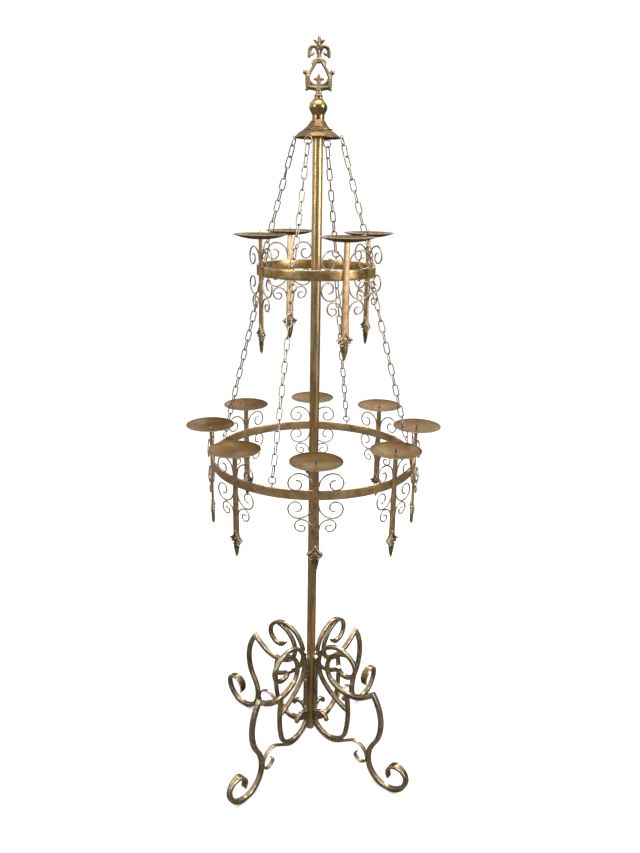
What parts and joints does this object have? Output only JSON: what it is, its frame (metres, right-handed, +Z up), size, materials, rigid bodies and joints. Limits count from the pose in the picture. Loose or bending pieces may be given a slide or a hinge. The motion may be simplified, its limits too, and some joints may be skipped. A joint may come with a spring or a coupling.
{
  "type": "candle stand",
  "caption": "Tall floor stand with scrolled legs, a central pole and two chain-hung rings of spiked candle dishes under a canopy with an openwork finial.",
  "frame": {"origin": "on the floor, on the axis of the pole", "axes": "+Z up, -Y towards the front, +X to the right as seen from the front"},
  "size_m": [0.719, 0.719, 2.087],
  "materials": {
    "pole_gilt": "worn antique gilding, satin",
    "canopy_gilt": "worn antique gilding, satin",
    "turned_gilt": "worn antique gilding, satin",
    "finial_gilt": "worn antique gilding, satin",
    "ring_gilt": "mottled antique gilding, satin",
    "holder_gilt": "mottled antique gilding, satin",
    "leaf_gilt": "mottled antique gilding, satin",
    "dish_bronze": "matte olive bronze paint",
    "spike_iron": "dark bronze paint",
    "chain_iron": "dark bronze paint",
    "leg_gilt": "mottled antique gilding, satin",
    "scroll_gilt": "mottled antique gilding, satin",
    "screw_steel": "dull steel"
  },
  "bodies": {
    "stand": {"pole": "pole_gilt", "canopy": "canopy_gilt", "canopy_eyes": "chain_iron", "bulb": "turned_gilt", "finial": "finial_gilt", "mounting_bars": "pole_gilt", "mounting_screws": "screw_steel", "leg_front_right": "leg_gilt", "leg_back_right": "leg_gilt", "leg_back_left": "leg_gilt", "leg_front_left": "leg_gilt", "scroll_front_right": "scroll_gilt", "scroll_back_right": "scroll_gilt", "scroll_back_left": "scroll_gilt", "scroll_front_left": "scroll_gilt", "loop_front_right": "scroll_gilt", "loop_back_right": "scroll_gilt", "loop_back_left": "scroll_gilt", "loop_front_left": "scroll_gilt", "straps": "leg_gilt"},
    "upper_tier": {"upper_ring": "ring_gilt", "upper_holder_front_right": "holder_gilt", "upper_holder_back_right": "holder_gilt", "upper_holder_back_left": "holder_gilt", "upper_holder_front_left": "holder_gilt", "upper_leaves": "leaf_gilt", "upper_dish_front_right": "dish_bronze", "upper_dish_back_right": "dish_bronze", "upper_dish_back_left": "dish_bronze", "upper_dish_front_left": "dish_bronze", "upper_spikes": "spike_iron"},
    "lower_tier": {"lower_ring": "ring_gilt", "lower_holder_front": "holder_gilt", "lower_holder_front_right": "holder_gilt", "lower_holder_right": "holder_gilt", "lower_holder_back_right": "holder_gilt", "lower_holder_back": "holder_gilt", "lower_holder_back_left": "holder_gilt", "lower_holder_left": "holder_gilt", "lower_holder_front_left": "holder_gilt", "lower_leaves": "leaf_gilt", "lower_dish_front": "dish_bronze", "lower_dish_front_right": "dish_bronze", "lower_dish_right": "dish_bronze", "lower_dish_back_right": "dish_bronze", "lower_dish_back": "dish_bronze", "lower_dish_back_left": "dish_bronze", "lower_dish_left": "dish_bronze", "lower_dish_front_left": "dish_bronze", "lower_spikes": "spike_iron"},
    "upper_chain_front": {"upper_chain_front": "chain_iron"},
    "upper_chain_right": {"upper_chain_right": "chain_iron"},
    "upper_chain_back": {"upper_chain_back": "chain_iron"},
    "upper_chain_left": {"upper_chain_left": "chain_iron"},
    "lower_chain_front": {"lower_chain_front": "chain_iron"},
    "lower_chain_right": {"lower_chain_right": "chain_iron"},
    "lower_chain_back": {"lower_chain_back": "chain_iron"},
    "lower_chain_left": {"lower_chain_left": "chain_iron"}
  },
  "joints": [
    {"name": "upper_turn", "type": "hinge", "parent": "stand", "child": "upper_tier", "pos_m": [0, 0, 1.85037], "axis": [0, 0, 1], "range_deg": [-8, 8], "stiffness_Nm_per_rad": 2.5},
    {"name": "lower_turn", "type": "hinge", "parent": "upper_tier", "child": "lower_tier", "pos_m": [0, 0, 1.50405], "axis": [0, 0, 1], "range_deg": [-6, 6], "stiffness_Nm_per_rad": 5.4},
    {"name": "upper_chain_front_swing", "type": "hinge", "parent": "stand", "child": "upper_chain_front", "pos_m": [-0.02451, -0.05917, 1.85037], "axis": [-0.3827, -0.9239, 0], "range_deg": [-4.5, 4.5]},
    {"name": "upper_chain_right_swing", "type": "hinge", "parent": "stand", "child": "upper_chain_right", "pos_m": [0.05917, -0.02451, 1.85037], "axis": [0.9239, -0.3827, 0], "range_deg": [-4.5, 4.5]},
    {"name": "upper_chain_back_swing", "type": "hinge", "parent": "stand", "child": "upper_chain_back", "pos_m": [0.02451, 0.05917, 1.85037], "axis": [0.3827, 0.9239, 0], "range_deg": [-4.5, 4.5]},
    {"name": "upper_chain_left_swing", "type": "hinge", "parent": "stand", "child": "upper_chain_left", "pos_m": [-0.05917, 0.02451, 1.85037], "axis": [-0.9239, 0.3827, 0], "range_deg": [-4.5, 4.5]},
    {"name": "lower_chain_front_swing", "type": "hinge", "parent": "upper_tier", "child": "lower_chain_front", "pos_m": [-0.05968, -0.14408, 1.50405], "axis": [-0.3827, -0.9239, 0], "range_deg": [-4, 4]},
    {"name": "lower_chain_right_swing", "type": "hinge", "parent": "upper_tier", "child": "lower_chain_right", "pos_m": [0.14408, -0.05968, 1.50405], "axis": [0.9239, -0.3827, 0], "range_deg": [-4, 4]},
    {"name": "lower_chain_back_swing", "type": "hinge", "parent": "upper_tier", "child": "lower_chain_back", "pos_m": [0.05968, 0.14408, 1.50405], "axis": [0.3827, 0.9239, 0], "range_deg": [-4, 4]},
    {"name": "lower_chain_left_swing", "type": "hinge", "parent": "upper_tier", "child": "lower_chain_left", "pos_m": [-0.14408, 0.05968, 1.50405], "axis": [-0.9239, 0.3827, 0], "range_deg": [-4, 4]}
  ],
  "couplings": [
    {"joint": "upper_chain_front_swing", "follows": "upper_turn", "ratio": 0.51584},
    {"joint": "upper_chain_right_swing", "follows": "upper_turn", "ratio": 0.51584},
    {"joint": "upper_chain_back_swing", "follows": "upper_turn", "ratio": 0.51584},
    {"joint": "upper_chain_left_swing", "follows": "upper_turn", "ratio": 0.51584},
    {"joint": "lower_chain_front_swing", "follows": "lower_turn", "ratio": 0.60231},
    {"joint": "lower_chain_right_swing", "follows": "lower_turn", "ratio": 0.60231},
    {"joint": "lower_chain_back_swing", "follows": "lower_turn", "ratio": 0.60231},
    {"joint": "lower_chain_left_swing", "follows": "lower_turn", "ratio": 0.60231}
  ]
}
